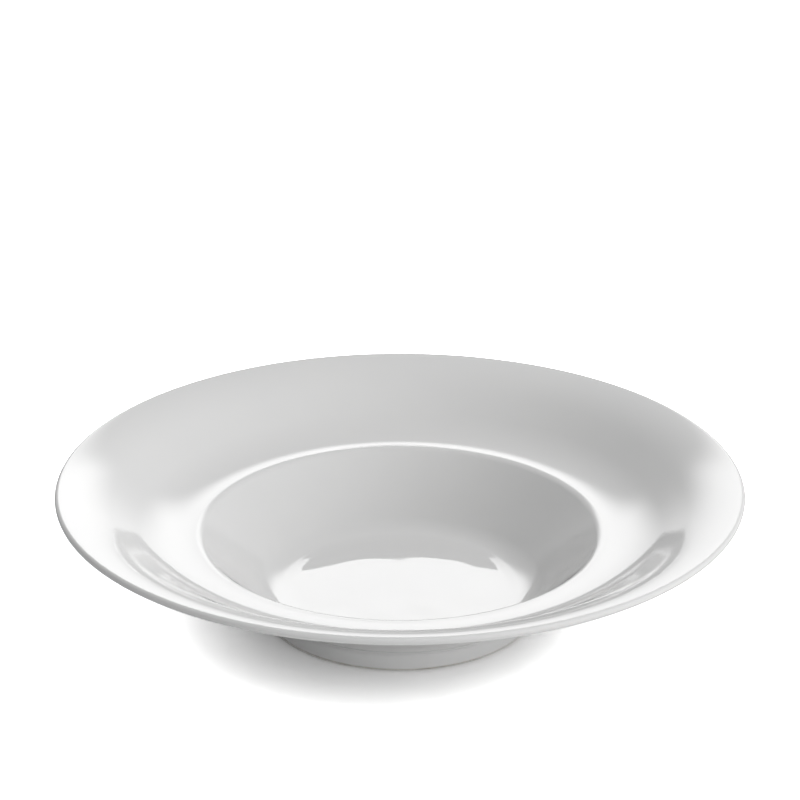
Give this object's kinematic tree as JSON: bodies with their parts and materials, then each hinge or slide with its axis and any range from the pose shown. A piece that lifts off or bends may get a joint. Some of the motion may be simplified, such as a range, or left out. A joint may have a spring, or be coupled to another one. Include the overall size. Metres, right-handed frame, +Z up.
{
  "type": "pasta bowl",
  "caption": "Round wide-rimmed pasta bowl in glazed white porcelain, with a deep flat-floored well, a rim sweeping up to a rolled edge, and a low foot ring.",
  "frame": {"origin": "centre of the foot ring's bearing face, on the table", "axes": "+Z up along the axis the bowl is turned about"},
  "size_m": [0.29, 0.29, 0.0606],
  "materials": {
    "bisque": "fired porcelain, bare and matte where the foot is wiped",
    "glaze": "clear gloss glaze over white porcelain"
  },
  "bodies": {
    "root": {"porcelain_body": "bisque", "glaze_coat": "glaze", "foot_recess_glaze": "glaze"}
  },
  "joints": []
}
